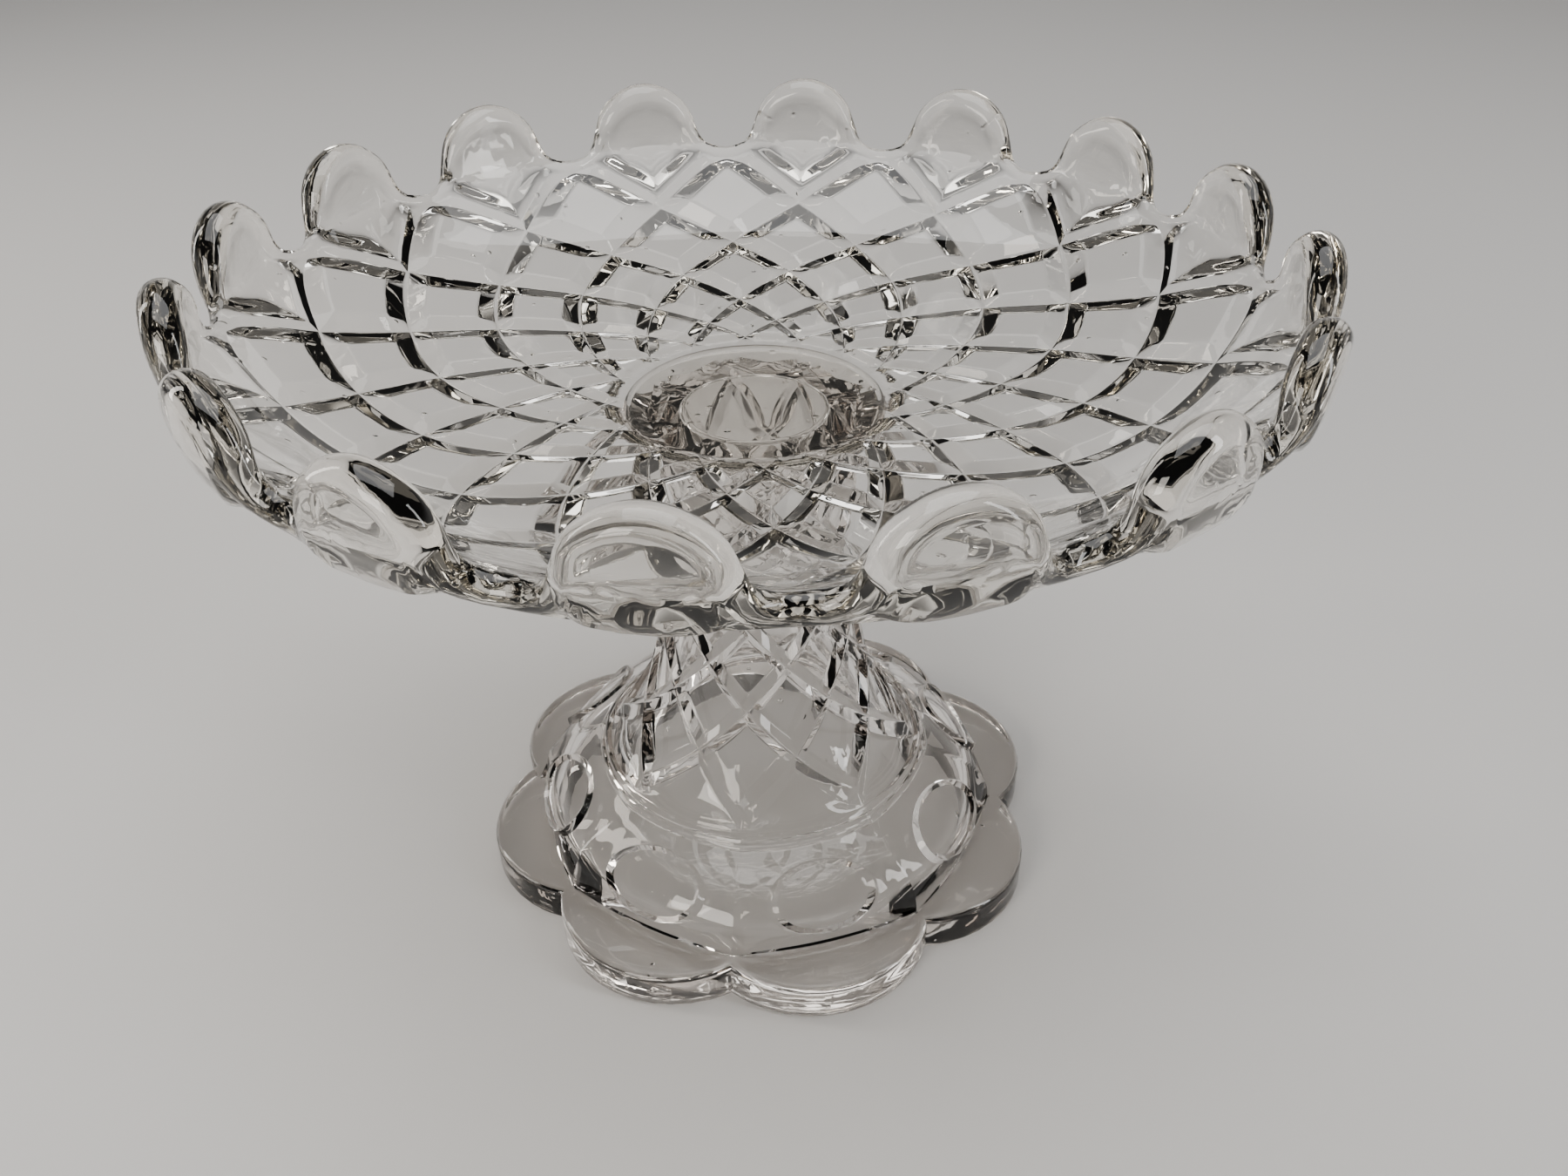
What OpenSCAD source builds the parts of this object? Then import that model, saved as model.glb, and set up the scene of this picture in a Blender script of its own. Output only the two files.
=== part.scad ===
// Footed serving stand in clear pressed glass: a wide scalloped bowl with a rib lattice
// under it, a joining disc, and a hollow foot with round petals. Millimetres, +Z up,
// origin at the middle of the face that the foot rests on.

/* [Rim] */
// Number of scallops round the rim, two for each petal of the foot
scallops = 16; // [12:2:20]
// Radius to the crest of a scallop
crest_r = 102.6; // [100:0.2:106]
// Height of the crest of a scallop above the table
crest_z = 147.5; // [144:0.5:150]
// Radius of the round top of a scallop
scallop_r = 12.3; // [11.5:0.1:12.8]
// Radius of the round bottom of a valley between scallops
valley_r = 7; // [6:0.1:7.2]
// How far the outside of a scallop swells out from the wall
swell = 2.3; // [1:0.1:3]

/* [Bowl] */
// Height of the flat underside of the bowl
bowl_z = 107.6; // [106:0.2:110]
// Thickness of the bowl, ribs included
bowl_t = 5.6; // [5:0.2:7]
// Height of the ribs
rib_h = 1.8; // [1:0.1:2.4]
// Width of a rib as a share of the cell it borders
rib_share = 0.36; // [0.25:0.01:0.45]

/* [Joining disc] */
// Radius of the disc between the bowl and the foot
disc_r = 26.3; // [25:0.1:27]
// Thickness of the disc
disc_t = 3.5; // [3:0.1:4.5]

/* [Foot] */
// Radius to the tip of a petal
petal_tip_r = 64.5; // [62:0.5:66]
// Radius of the round outline of a petal
petal_r = 26.2; // [25:0.2:28]
// Height of the petals
petal_h = 8.5; // [7:0.5:10]
// Radius of the dome where it stands on the petals
dome_r = 52.8; // [52:0.2:54]
// Height of the dome above the petals
dome_h = 15.1; // [14:0.1:16]
// How far the dome's shoulder reaches in from its edge to the neck
shoulder_w = 15.3; // [14.5:0.1:16]
// Radius of the stem at its narrowest
stem_r = 20.3; // [19:0.1:21]
// Radius of the stem where it meets the disc
stem_top_r = 24.5; // [23:0.1:25]
// Thickness of the foot's wall
foot_t = 5.4; // [4.5:0.1:6]
// Height of the lowest crossings of the foot's lattice
foot_ring_z = 29.7; // [28.5:0.1:31]
// Height from one ring of crossings to the next
foot_ring_step = 9.8; // [9.4:0.1:10]
// Half the width of the oval on each panel of the dome
oval_half_w = 11.4; // [9:0.2:12]
// Half the height of that oval
oval_half_h = 7.2; // [6:0.2:7.6]

/* [Hidden] */
$fn = 96;
glass_tint = [0.93, 0.92, 0.87, 0.45];
pitch = 360 / scallops;                       // angle from one scallop to the next
petals = scallops / 2;
petal_pitch = 360 / petals;
ring_rs = [90, 78, 65, 50, 38, 29];           // rings of crossings in the rib lattice, outside in
curve_r = 102;                                // where the curve of the underside would end
curve_rise = 23;                              // how far it would have risen by there
cone_r = 92;                                  // where the wall stops curving and runs straight
wall_low_r = 102.4;                           // where the wall turns up into the rim
lip_r = 2.65;                                 // radius of the rolled crest
past = 1;                                     // how far a cutter runs past a surface
valley_z = crest_z - 16.3;
disc_z = bowl_z - disc_t;
stem_seat_z = disc_z;
neck_z = petal_h + dome_h;                    // where the dome ends and the neck begins
neck_r = dome_r - shoulder_w;
foot_rings = 7;

// ---- curves shared by the parts ----

// How far along the curve of the underside a radius lies, from 0 at the disc
function along(r) = max(min(r, cone_r) - disc_r, 0) / (curve_r - disc_r);

// Slope of the underside, rise over run
function under_rise(r) = 4 * curve_rise * pow(along(r), 3) / (curve_r - disc_r);

// Underside along the tops of the ribs: flat under the disc, a fourth power, then a cone
function under_z(r) = bowl_z + curve_rise * pow(along(r), 4) + max(r - cone_r, 0) * under_rise(r);

// Slope angle of the underside
function under_slope(r) = atan(under_rise(r));

// A point of the underside moved inwards through the glass by depth
function in_bowl(r, depth) =
    [r - depth * sin(under_slope(r)), under_z(r) + depth * cos(under_slope(r))];

// Quadratic curve from a to c that leaves a and reaches c along their lines to b
function bend(a, b, c, steps) =
    [for (i = [1 : steps]) let (t = i / steps) (1 - t) * (1 - t) * a + 2 * t * (1 - t) * b + t * t * c];

// Half circle or part of one, in steps
function arc(centre, r, from, to, steps) =
    [for (i = [0 : steps]) let (t = from + (to - from) * i / steps) centre + r * [cos(t), sin(t)]];

function ellipse(a, b, steps) = [for (i = [0 : steps - 1]) [a * cos(i * 360 / steps), b * sin(i * 360 / steps)]];

// Radius of the foot's outside along the neck: an easing curve into the stem, with a flare on top
function neck_radius(z) =
    stem_r + (neck_r - stem_r + 0.3) * exp(-pow((z - neck_z + 0.6) / 18, 1.25))
    + (stem_top_r - stem_r) * exp(-(stem_seat_z - z) / 6);

// Point of the neck's outside at a height, moved inwards through the glass by depth
function in_neck(z, depth) =
    let (lean = atan((neck_radius(z + 0.05) - neck_radius(z - 0.05)) / 0.1))
        [neck_radius(z) - depth * cos(lean), z + depth * sin(lean)];

// The dome's shoulder is one cubic curve, from the petals up to the neck
dome_curve = [[dome_r, petal_h], [dome_r, petal_h + 8.7], [neck_r + 7, neck_z - 3.4], [neck_r, neck_z]];

// Weights of the four points of a cubic curve, and of the three differences between them
function cubic(t) = [pow(1 - t, 3), 3 * t * pow(1 - t, 2), 3 * t * t * (1 - t), pow(t, 3)];
function heading(t) =
    (1 - t) * (1 - t) * (dome_curve[1] - dome_curve[0]) + 2 * t * (1 - t) * (dome_curve[2] - dome_curve[1])
    + t * t * (dome_curve[3] - dome_curve[2]);

// Point of the shoulder a share t of the way up, moved inwards through the glass by depth
function in_dome(t, depth) =
    let (way = heading(t) / norm(heading(t))) cubic(t) * dome_curve + depth * [-way[1], way[0]];

// ---- bowl ----

wall_count = 18;
wall_step = (wall_low_r - disc_r) / wall_count;
lip_centre = [crest_r, crest_z - lip_r];

// Section through the bowl between two scallops' sides, before the valleys are cut
module bowl_section() {
    outside_low = in_bowl(wall_low_r, 0);
    inside_low = in_bowl(wall_low_r, bowl_t);
    outside_top = lip_centre + [lip_r, 0];
    inside_top = lip_centre - [lip_r, 0];
    outside_knee = [outside_top[0], outside_low[1] + (outside_top[0] - outside_low[0]) * under_rise(wall_low_r)];
    inside_knee = [inside_top[0], inside_low[1] + (inside_top[0] - inside_low[0]) * under_rise(wall_low_r)];
    polygon(concat(
        [[0, bowl_z]],
        [for (i = [0 : wall_count]) in_bowl(disc_r + i * wall_step, 0)],
        bend(outside_low, outside_knee, outside_top, 6),
        arc(lip_centre, lip_r, 15, 165, 8),
        bend(inside_top, inside_knee, inside_low, 6),
        [for (i = [wall_count - 1 : -1 : 0]) in_bowl(disc_r + i * wall_step, bowl_t)],
        [[0, bowl_z + bowl_t]]));
}

// Outline of one valley, standing across the rim, from one scallop's crest to the next
module valley_outline() {
    half = crest_r * sin(pitch / 2) + 0.3;
    low = [0, valley_z + valley_r];
    tip = [half, crest_z - scallop_r];
    between = tip - low;
    // the side of a scallop is the straight line that touches both arcs
    side = atan2(between[1], between[0]) - acos((scallop_r + valley_r) / norm(between));
    right = concat(
        arc(low, valley_r, 270, 360 + side, 8),
        arc(tip, scallop_r, 180 + side, 97, 12),
        [[half - 2, crest_z + 8]]);
    polygon(concat(right, [for (i = [len(right) - 1 : -1 : 1]) [-right[i][0], right[i][1]]]));
}

module valleys() {
    for (i = [0 : scallops - 1])
        rotate([0, 0, (i + 0.5) * pitch]) translate([crest_r - 30, 0, 0])
            rotate([90, 0, 90]) linear_extrude(60) valley_outline();
}

// The round swelling on the outside of each scallop
module swellings() {
    swell_r = 30;
    foot_of_swell = crest_r + 1.6;
    intersection() {
        rotate_extrude() translate([crest_r - 1, crest_z - 26]) square([12, 24.5]);
        for (i = [0 : scallops - 1])
            rotate([0, 0, i * pitch]) translate([foot_of_swell + swell - swell_r, 0, crest_z - 12.5])
                sphere(swell_r);
    }
}

// Layer of the underside that the ribs stand in
module rib_layer() {
    inner_r = disc_r + 1.2;
    outer_r = wall_low_r - 2.5;
    count = 12;
    rs = [for (i = [0 : count]) inner_r + i * (outer_r - inner_r) / count];
    rotate_extrude() polygon(concat(
        [for (r = rs) in_bowl(r, -past)],
        [for (i = [count : -1 : 0]) in_bowl(rs[i], rib_h)]));
}

// Plan of one cell between four crossings, drawn towards +X and shrunk by the ribs' width
module cell_plan(outer, side, inner) {
    middle = side * cos(pitch / 2);
    half = side * sin(pitch / 2);
    left = 1 - rib_share;
    polygon([for (p = [[outer - middle, 0], [0, half], [inner - middle, 0], [0, -half]]) [middle, 0] + left * p]);
}

// Plan of the top cell under a valley, which ends in a round arch
module arch_plan() {
    middle = ring_rs[0] * cos(pitch / 2);
    half = ring_rs[0] * sin(pitch / 2);
    left = 1 - rib_share;
    top = [for (t = [0 : 15 : 180]) left * [11.5 * sin(t), half * cos(t)]];
    translate([middle, 0]) polygon(concat(top, [[left * (ring_rs[1] - middle), 0]]));
}

module cells() {
    deepest = bowl_z - 2 * past;
    tall = crest_z - deepest;
    radii = concat(ring_rs, [21]);
    for (i = [0 : scallops - 1], k = [0 : len(radii) - 3])
        rotate([0, 0, (i + (k % 2) / 2) * pitch]) translate([0, 0, deepest])
            linear_extrude(tall) cell_plan(radii[k], radii[k + 1], radii[k + 2]);
    for (i = [0 : scallops - 1])
        rotate([0, 0, (i + 0.5) * pitch]) translate([0, 0, deepest]) linear_extrude(tall) arch_plan();
}

module bowl() {
    color(glass_tint) difference() {
        union() {
            rotate_extrude() bowl_section();
            swellings();
        }
        valleys();
        intersection() {
            rib_layer();
            cells();
        }
    }
}

// ---- joining disc ----

module joining_disc() {
    edge = 0.8;
    color(glass_tint) translate([0, 0, disc_z]) rotate_extrude()
        polygon(concat([[0, 0]], arc([disc_r - edge, edge], edge, 270, 360, 4), [[disc_r, disc_t], [0, disc_t]]));
}

// ---- foot ----

neck_span = stem_seat_z - neck_z;
neck_count = 28;
dome_count = 16;
bead_r = 0.9;

// Height of a numbered step of the neck
function neck_step(i) = neck_z + i * neck_span / neck_count;

module foot_section() {
    polygon(concat(
        [[0, 1], [dome_r, 1]],
        [for (i = [0 : dome_count - 2]) in_dome(i / dome_count, 0)],
        arc([neck_r + 0.3, neck_z], bead_r, 30, 120, 4),
        [for (i = [1 : neck_count]) in_neck(neck_step(i), 0)],
        [[0, stem_seat_z]]));
}

// The hollow inside the foot, open below and closed at the top of the stem
module hollow() {
    top_z = stem_seat_z - 2.2;
    top_round = 3;
    top_in_r = stem_top_r - foot_t - 3;
    rotate_extrude() polygon(concat(
        [[0, -past], [dome_r - foot_t, -past]],
        [for (i = [0 : 2 : dome_count]) in_dome(i / dome_count, foot_t)],
        [for (i = [0 : neck_count - 3]) in_neck(neck_step(i), foot_t)],
        arc([top_in_r - top_round, top_z - top_round], top_round, 0, 90, 4),
        [[0, top_z]]));
}

// One petal as a thick disc with round edges
module petal() {
    edge = 1.6;
    translate([petal_tip_r - petal_r, 0, 0]) rotate_extrude() polygon(concat(
        [[0, 0], [petal_r - 0.5, 0], [petal_r, 0.5]],
        arc([petal_r - edge, petal_h - edge], edge, 0, 90, 5),
        [[0, petal_h]]));
}

// Layer of the neck that the foot's ribs stand in
module neck_layer() {
    cut = 1.5;
    rotate_extrude() polygon(concat(
        [for (i = [3 : neck_count - 1]) in_neck(neck_step(i), -past)],
        [for (i = [neck_count - 1 : -1 : 3]) in_neck(neck_step(i), cut)]));
}

// One cell of the foot's lattice, standing across +X with its middle at height z
module foot_cell(z) {
    half = neck_radius(z) * sin(petal_pitch / 2);
    left = 1 - rib_share;
    rotate([90, 0, 90]) translate([0, z, 8]) linear_extrude(60)
        polygon([for (p = [[half, 0], [0, foot_ring_step], [-half, 0], [0, -foot_ring_step]]) left * p]);
}

module foot_cells() {
    for (i = [0 : petals - 1], k = [1 : foot_rings - 1])
        rotate([0, 0, (i + (k + 1) % 2 / 2) * petal_pitch]) foot_cell(foot_ring_z + k * foot_ring_step);
}

// Raised oval outline on each panel of the dome
module ovals() {
    tilt = 33;
    line = 1.1;
    intersection() {
        rotate_extrude() polygon(concat(
            [for (i = [0 : dome_count - 1]) in_dome(i / dome_count, -0.7)],
            [for (i = [dome_count - 1 : -1 : 0]) in_dome(i / dome_count, 1.5)]));
        for (i = [0 : petals - 1])
            rotate([0, 0, (i + 0.5) * petal_pitch]) translate([dome_r - shoulder_w + 1, 0, petal_h - 0.6])
                rotate([0, -tilt, 0]) rotate([90, 0, 90]) translate([0, 0, 5]) linear_extrude(15)
                    difference() {
                        polygon(ellipse(oval_half_w, oval_half_h, 28));
                        polygon(ellipse(oval_half_w - line, oval_half_h - line, 28));
                    }
    }
}

module foot() {
    color(glass_tint) difference() {
        union() {
            difference() {
                rotate_extrude() foot_section();
                intersection() {
                    neck_layer();
                    foot_cells();
                }
            }
            for (i = [0 : petals - 1]) rotate([0, 0, (i + 0.5) * petal_pitch]) petal();
            ovals();
        }
        hollow();
    }
}

bowl();
joining_disc();
foot();
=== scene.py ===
# %% [markdown]
# # A footed serving stand in clear pressed glass
#
# The stand has three pieces: a wide bowl with a scalloped rim and a lattice of ribs underneath,
# a joining disc, and a hollow foot with a lattice stem and round petals. Pressed glass comes out
# of a mould that is divided into equal sectors, so the lesson does the same. It models one sector
# of each piece with care, and lets Geometry Nodes repeat it around the axis.

# %% Load the frame
import math

import bmesh
import bpy
import numpy as np
from mathutils import Matrix, Vector


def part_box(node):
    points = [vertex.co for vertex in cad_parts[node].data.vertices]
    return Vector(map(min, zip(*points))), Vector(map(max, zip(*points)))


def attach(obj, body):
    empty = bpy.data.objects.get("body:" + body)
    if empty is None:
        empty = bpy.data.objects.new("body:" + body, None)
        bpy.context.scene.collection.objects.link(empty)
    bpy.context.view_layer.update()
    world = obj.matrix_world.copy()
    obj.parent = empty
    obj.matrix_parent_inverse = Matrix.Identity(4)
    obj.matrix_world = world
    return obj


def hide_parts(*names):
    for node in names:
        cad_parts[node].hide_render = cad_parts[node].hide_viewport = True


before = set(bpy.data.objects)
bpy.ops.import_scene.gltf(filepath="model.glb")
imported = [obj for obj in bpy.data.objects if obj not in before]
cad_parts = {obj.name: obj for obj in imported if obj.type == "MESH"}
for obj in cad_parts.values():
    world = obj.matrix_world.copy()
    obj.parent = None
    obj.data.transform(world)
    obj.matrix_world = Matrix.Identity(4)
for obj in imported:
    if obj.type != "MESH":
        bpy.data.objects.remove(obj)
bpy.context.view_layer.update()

# %% [markdown]
# ## Sizes
#
# The shapes below are worked out in millimetres, as on a mould maker's drawing, and turned into
# metres when a mesh is made. The outer sizes come from the frame, so the meshes fit the solids
# that they stand for. What the frame doesn't say, such as the rings of crossings, is named here.

# %% Sizes taken from the frame, in millimetres
MM = 0.001


def box_mm(node):
    """Lowest and highest corner of a node, in millimetres."""
    low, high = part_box(node)
    return np.array(low) / MM, np.array(high) / MM


_, bowl_high = box_mm("bowl")
disc_low, disc_high = box_mm("joining_disc")

BOWL_Z = disc_high[2]           # underside of the bowl
DISC_Z = disc_low[2]            # underside of the joining disc
DISC_R = disc_high[0]
CREST_Z = bowl_high[2]
print("bowl from", round(BOWL_Z, 1), "to", round(CREST_Z, 1), "mm, disc radius", round(DISC_R, 1))

# %% [markdown]
# ## Sheets of quads
#
# Every surface here is a sheet: a grid of points with two directions, such as "along the rim" and
# "across the rim". A sheet is easy to reason about, and its lines can be crowded together where
# the glass turns sharply, which keeps an edge crisp with few faces. `Sector` collects the sheets
# of one sector, and can add the mirror image of a sheet, because each sector has a middle plane.

# %% A collector for the sheets of one sector
class Sector:
    def __init__(self):
        self.points = []
        self.faces = []

    def add(self, sheet, mirror=False):
        """Adds a grid of points, shaped (rows, columns, 3), and its mirror image in Y if asked."""
        rows, columns, _ = sheet.shape
        start = len(self.points)
        self.points.extend(sheet.reshape(-1, 3).tolist())
        for i in range(rows - 1):
            for j in range(columns - 1):
                a = start + i * columns + j
                self.faces.append((a, a + 1, a + columns + 1, a + columns))
        if mirror:
            self.add(sheet * np.array([1, -1, 1]))

    def mesh(self, name):
        mesh = bpy.data.meshes.new(name)
        mesh.from_pydata([[c * MM for c in p] for p in self.points], [], self.faces)
        return mesh


def ease(t):
    """0 before 0, 1 after 1, and a smooth S between."""
    t = np.clip(t, 0, 1)
    return t * t * (3 - 2 * t)


def between(a, b, t):
    return a + (b - a) * t


# %% [markdown]
# ## Repeating a sector with Geometry Nodes
#
# A tree of nodes puts copies of the sector on points, turns each by its share of a circle, makes
# them real and welds the seams. Number of sectors, weld distance and material are named inputs,
# so the same tree serves the bowl and the foot.

# %% The tree that repeats a sector round the axis
def repeat_tree():
    tree = bpy.data.node_groups.new("sectors_round_the_axis", "GeometryNodeTree")
    face = tree.interface
    face.new_socket("Sector", in_out="INPUT", socket_type="NodeSocketGeometry")
    face.new_socket("Sectors", in_out="INPUT", socket_type="NodeSocketInt")
    face.new_socket("Weld distance", in_out="INPUT", socket_type="NodeSocketFloat")
    face.new_socket("Glass", in_out="INPUT", socket_type="NodeSocketMaterial")
    face.new_socket("Piece", in_out="OUTPUT", socket_type="NodeSocketGeometry")

    def node(kind, **values):
        made = tree.nodes.new(kind)
        for key, value in values.items():
            setattr(made, key, value)
        return made

    given = node("NodeGroupInput")
    result = node("NodeGroupOutput")
    points = node("GeometryNodePoints")
    index = node("GeometryNodeInputIndex")
    share = node("ShaderNodeMath", operation="DIVIDE")
    turn = node("ShaderNodeMath", operation="MULTIPLY")
    spin = node("ShaderNodeCombineXYZ")
    copies = node("GeometryNodeInstanceOnPoints")
    real = node("GeometryNodeRealizeInstances")
    weld = node("GeometryNodeMergeByDistance")
    smooth = node("GeometryNodeSetShadeSmooth")
    finish = node("GeometryNodeSetMaterial")
    turn.inputs[1].default_value = 2 * math.pi
    for source, target in (
            (given.outputs["Sectors"], points.inputs["Count"]),
            (index.outputs["Index"], share.inputs[0]),
            (given.outputs["Sectors"], share.inputs[1]),
            (share.outputs[0], turn.inputs[0]),
            (turn.outputs[0], spin.inputs["Z"]),
            (points.outputs[0], copies.inputs["Points"]),
            (given.outputs["Sector"], copies.inputs["Instance"]),
            (spin.outputs[0], copies.inputs["Rotation"]),
            (copies.outputs[0], real.inputs[0]),
            (real.outputs[0], weld.inputs["Geometry"]),
            (given.outputs["Weld distance"], weld.inputs["Distance"]),
            (weld.outputs[0], smooth.inputs["Geometry"]),
            (smooth.outputs[0], finish.inputs["Geometry"]),
            (given.outputs["Glass"], finish.inputs["Material"]),
            (finish.outputs[0], result.inputs["Piece"])):
        tree.links.new(source, target)
    return tree


REPEAT = repeat_tree()
SHARP = math.radians(28)        # edges that turn more than this stay crisp


def pressed(name, sector, sectors, glass, sharp=SHARP):
    """Turns one sector into a whole closed piece."""
    seed = bpy.data.objects.new(name + "_sector", sector.mesh(name + "_sector"))
    bpy.context.collection.objects.link(seed)
    repeat = seed.modifiers.new("sectors", "NODES")
    repeat.node_group = REPEAT
    wanted = {"Sectors": sectors, "Weld distance": 0.012 * MM, "Glass": glass}
    for item in REPEAT.interface.items_tree:
        if item.in_out == "INPUT" and item.name in wanted:
            repeat[item.identifier] = wanted[item.name]
    bpy.context.view_layer.update()
    whole = bpy.data.meshes.new_from_object(seed.evaluated_get(bpy.context.evaluated_depsgraph_get()))
    bpy.data.objects.remove(seed)
    work = bmesh.new()
    work.from_mesh(whole)
    bmesh.ops.dissolve_degenerate(work, dist=0.002 * MM, edges=work.edges)
    bmesh.ops.recalc_face_normals(work, faces=work.faces)
    open_edges = sum(not edge.is_manifold for edge in work.edges)
    volume = work.calc_volume(signed=True)
    work.to_mesh(whole)
    triangles = sum(len(face.verts) - 2 for face in work.faces)
    work.free()
    whole.set_sharp_from_angle(angle=sharp)
    piece = bpy.data.objects.new(name, whole)
    bpy.context.collection.objects.link(piece)
    print(f"{name}: {triangles} triangles, {open_edges} open edges, {volume * 1e6:.1f} cm3")
    return piece


# %% [markdown]
# ## The glass
#
# Old pressed glass is clear, but not perfectly so. It has a faint straw tint that deepens where
# the glass is thick, a fire-polished skin that is a little wavy, and a few seeds, which are tiny
# bubbles. The tint is absorption in the volume, so thick places darken by themselves. The waves
# and the seeds are bumps on the skin.

# %% The material
def glass_material(name, tint, depth, seed_scale):
    material = bpy.data.materials.new(name)
    material.use_nodes = True
    nodes = material.node_tree.nodes
    link = material.node_tree.links.new
    skin = nodes["Principled BSDF"]
    out = nodes["Material Output"]
    skin.inputs["IOR"].default_value = 1.52
    skin.inputs["Transmission Weight"].default_value = 1.0

    place = nodes.new("ShaderNodeTexCoord")
    waves = nodes.new("ShaderNodeTexNoise")
    waves.inputs["Scale"].default_value = 55.0
    waves.inputs["Detail"].default_value = 1.5
    link(place.outputs["Object"], waves.inputs["Vector"])

    cloud = nodes.new("ShaderNodeTexNoise")
    cloud.inputs["Scale"].default_value = 22.0
    cloud.inputs["Detail"].default_value = 3.0
    link(place.outputs["Object"], cloud.inputs["Vector"])

    shade = nodes.new("ShaderNodeMix")
    shade.data_type = "RGBA"
    shade.inputs["A"].default_value = (0.995, 0.99, 0.98, 1)
    shade.inputs["B"].default_value = (0.975, 0.965, 0.95, 1)
    link(cloud.outputs["Fac"], shade.inputs["Factor"])
    link(shade.outputs["Result"], skin.inputs["Base Color"])

    polish = nodes.new("ShaderNodeMapRange")
    polish.inputs["From Min"].default_value = 0.35
    polish.inputs["From Max"].default_value = 0.75
    polish.inputs["To Min"].default_value = 0.0
    polish.inputs["To Max"].default_value = 0.035
    link(cloud.outputs["Fac"], polish.inputs["Value"])
    link(polish.outputs["Result"], skin.inputs["Roughness"])

    seeds = nodes.new("ShaderNodeTexVoronoi")
    seeds.inputs["Scale"].default_value = seed_scale
    link(place.outputs["Object"], seeds.inputs["Vector"])
    dots = nodes.new("ShaderNodeMapRange")
    dots.inputs["From Min"].default_value = 0.03
    dots.inputs["From Max"].default_value = 0.09
    dots.inputs["To Min"].default_value = 1.0
    dots.inputs["To Max"].default_value = 0.0
    link(seeds.outputs["Distance"], dots.inputs["Value"])

    wavy = nodes.new("ShaderNodeBump")
    wavy.inputs["Strength"].default_value = 0.12
    wavy.inputs["Distance"].default_value = 0.0004
    link(waves.outputs["Fac"], wavy.inputs["Height"])
    seedy = nodes.new("ShaderNodeBump")
    seedy.inputs["Strength"].default_value = 0.6
    seedy.inputs["Distance"].default_value = 0.0003
    link(dots.outputs["Result"], seedy.inputs["Height"])
    link(wavy.outputs["Normal"], seedy.inputs["Normal"])
    link(seedy.outputs["Normal"], skin.inputs["Normal"])

    inside = nodes.new("ShaderNodeVolumeAbsorption")
    inside.inputs["Color"].default_value = (*tint, 1)
    inside.inputs["Density"].default_value = depth
    link(inside.outputs["Volume"], out.inputs["Volume"])
    return material


straw_glass = glass_material("straw_tinted_glass", (0.90, 0.85, 0.74), 20.0, 130.0)
rose_glass = glass_material("rose_straw_glass", (0.92, 0.83, 0.76), 20.0, 120.0)
core_glass = glass_material("disc_glass", (0.90, 0.86, 0.76), 20.0, 90.0)
print("three glasses made")

# %% [markdown]
# ## The bowl's section
#
# A line across the underside, along the tops of the ribs, is the reference for the whole bowl. It
# is flat over the joining disc, rises with the fourth power of the distance, runs on as a cone and
# turns up into the rim. Each point of it also knows the way through the glass, so any point of the
# bowl is named by three numbers: the angle, the distance along the line, and the depth from it.

# %% The reference line and the way through the glass
SCALLOPS = 16
HALF_PITCH = math.pi / SCALLOPS
BOWL_T = 5.6                    # thickness, ribs included
LIP_R = 2.65
CREST_R = 102.6
CURVE_R = 102.0
CURVE_RISE = 23.0
CONE_R = 92.0
WALL_LOW_R = 102.4


def underside(r):
    """Height and slope of the underside at a radius."""
    along = np.clip(np.minimum(r, CONE_R) - DISC_R, 0, None) / (CURVE_R - DISC_R)
    rise = 4 * CURVE_RISE * along ** 3 / (CURVE_R - DISC_R)
    return BOWL_Z + CURVE_RISE * along ** 4 + np.clip(r - CONE_R, 0, None) * rise, rise


def curve(a, b, c, t):
    """Quadratic curve from a to c, leaving and arriving along its lines to b."""
    t = t[:, None]
    return (1 - t) ** 2 * a + 2 * t * (1 - t) * b + t ** 2 * c


def bowl_section():
    r = np.linspace(0, WALL_LOW_R, 400)
    z, rise = underside(r)
    inward = np.stack([-rise, np.ones_like(rise)], 1) / np.hypot(1, rise)[:, None]
    outer = np.stack([r, z], 1)
    inner = outer + BOWL_T * inward
    lip_z = CREST_Z - LIP_R
    t = np.linspace(0, 1, 60)[1:]
    outer_top = np.array([CREST_R + LIP_R, lip_z])
    inner_top = np.array([CREST_R - LIP_R, lip_z])
    outer_knee = np.array([outer_top[0], outer[-1, 1] + (outer_top[0] - outer[-1, 0]) * rise[-1]])
    inner_knee = np.array([inner_top[0], inner[-1, 1] + (inner_top[0] - inner[-1, 0]) * rise[-1]])
    outer = np.vstack([outer, curve(outer[-1], outer_knee, outer_top, t), outer_top + [0, 8]])
    inner = np.vstack([inner, curve(inner[-1], inner_knee, inner_top, t), inner_top + [0, 8]])
    through = inner - outer
    through /= np.hypot(*through.T)[:, None]
    distance = np.concatenate([[0], np.cumsum(np.hypot(*np.diff(outer, axis=0).T))])
    return distance, outer, through


LINE_V, LINE_P, LINE_N = bowl_section()


def on_line(v, table):
    return np.interp(v, LINE_V, table)


def bowl_point(phi, v, depth):
    """A point of the bowl at an angle, a distance along the line and a depth into the glass."""
    phi, v, depth = np.broadcast_arrays(phi, v, depth)
    r = on_line(v, LINE_P[:, 0]) + depth * on_line(v, LINE_N[:, 0])
    z = on_line(v, LINE_P[:, 1]) + depth * on_line(v, LINE_N[:, 1])
    return np.stack([r * np.cos(phi), r * np.sin(phi), z], -1)


def v_at_height(z, depth):
    """Distance along the line where a point at this depth has this height."""
    heights = LINE_P[:, 1] + depth * LINE_N[:, 1]
    return float(np.interp(z, heights[200:], LINE_V[200:]))


print("the section is", round(LINE_V[-1], 1), "mm long")

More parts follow.
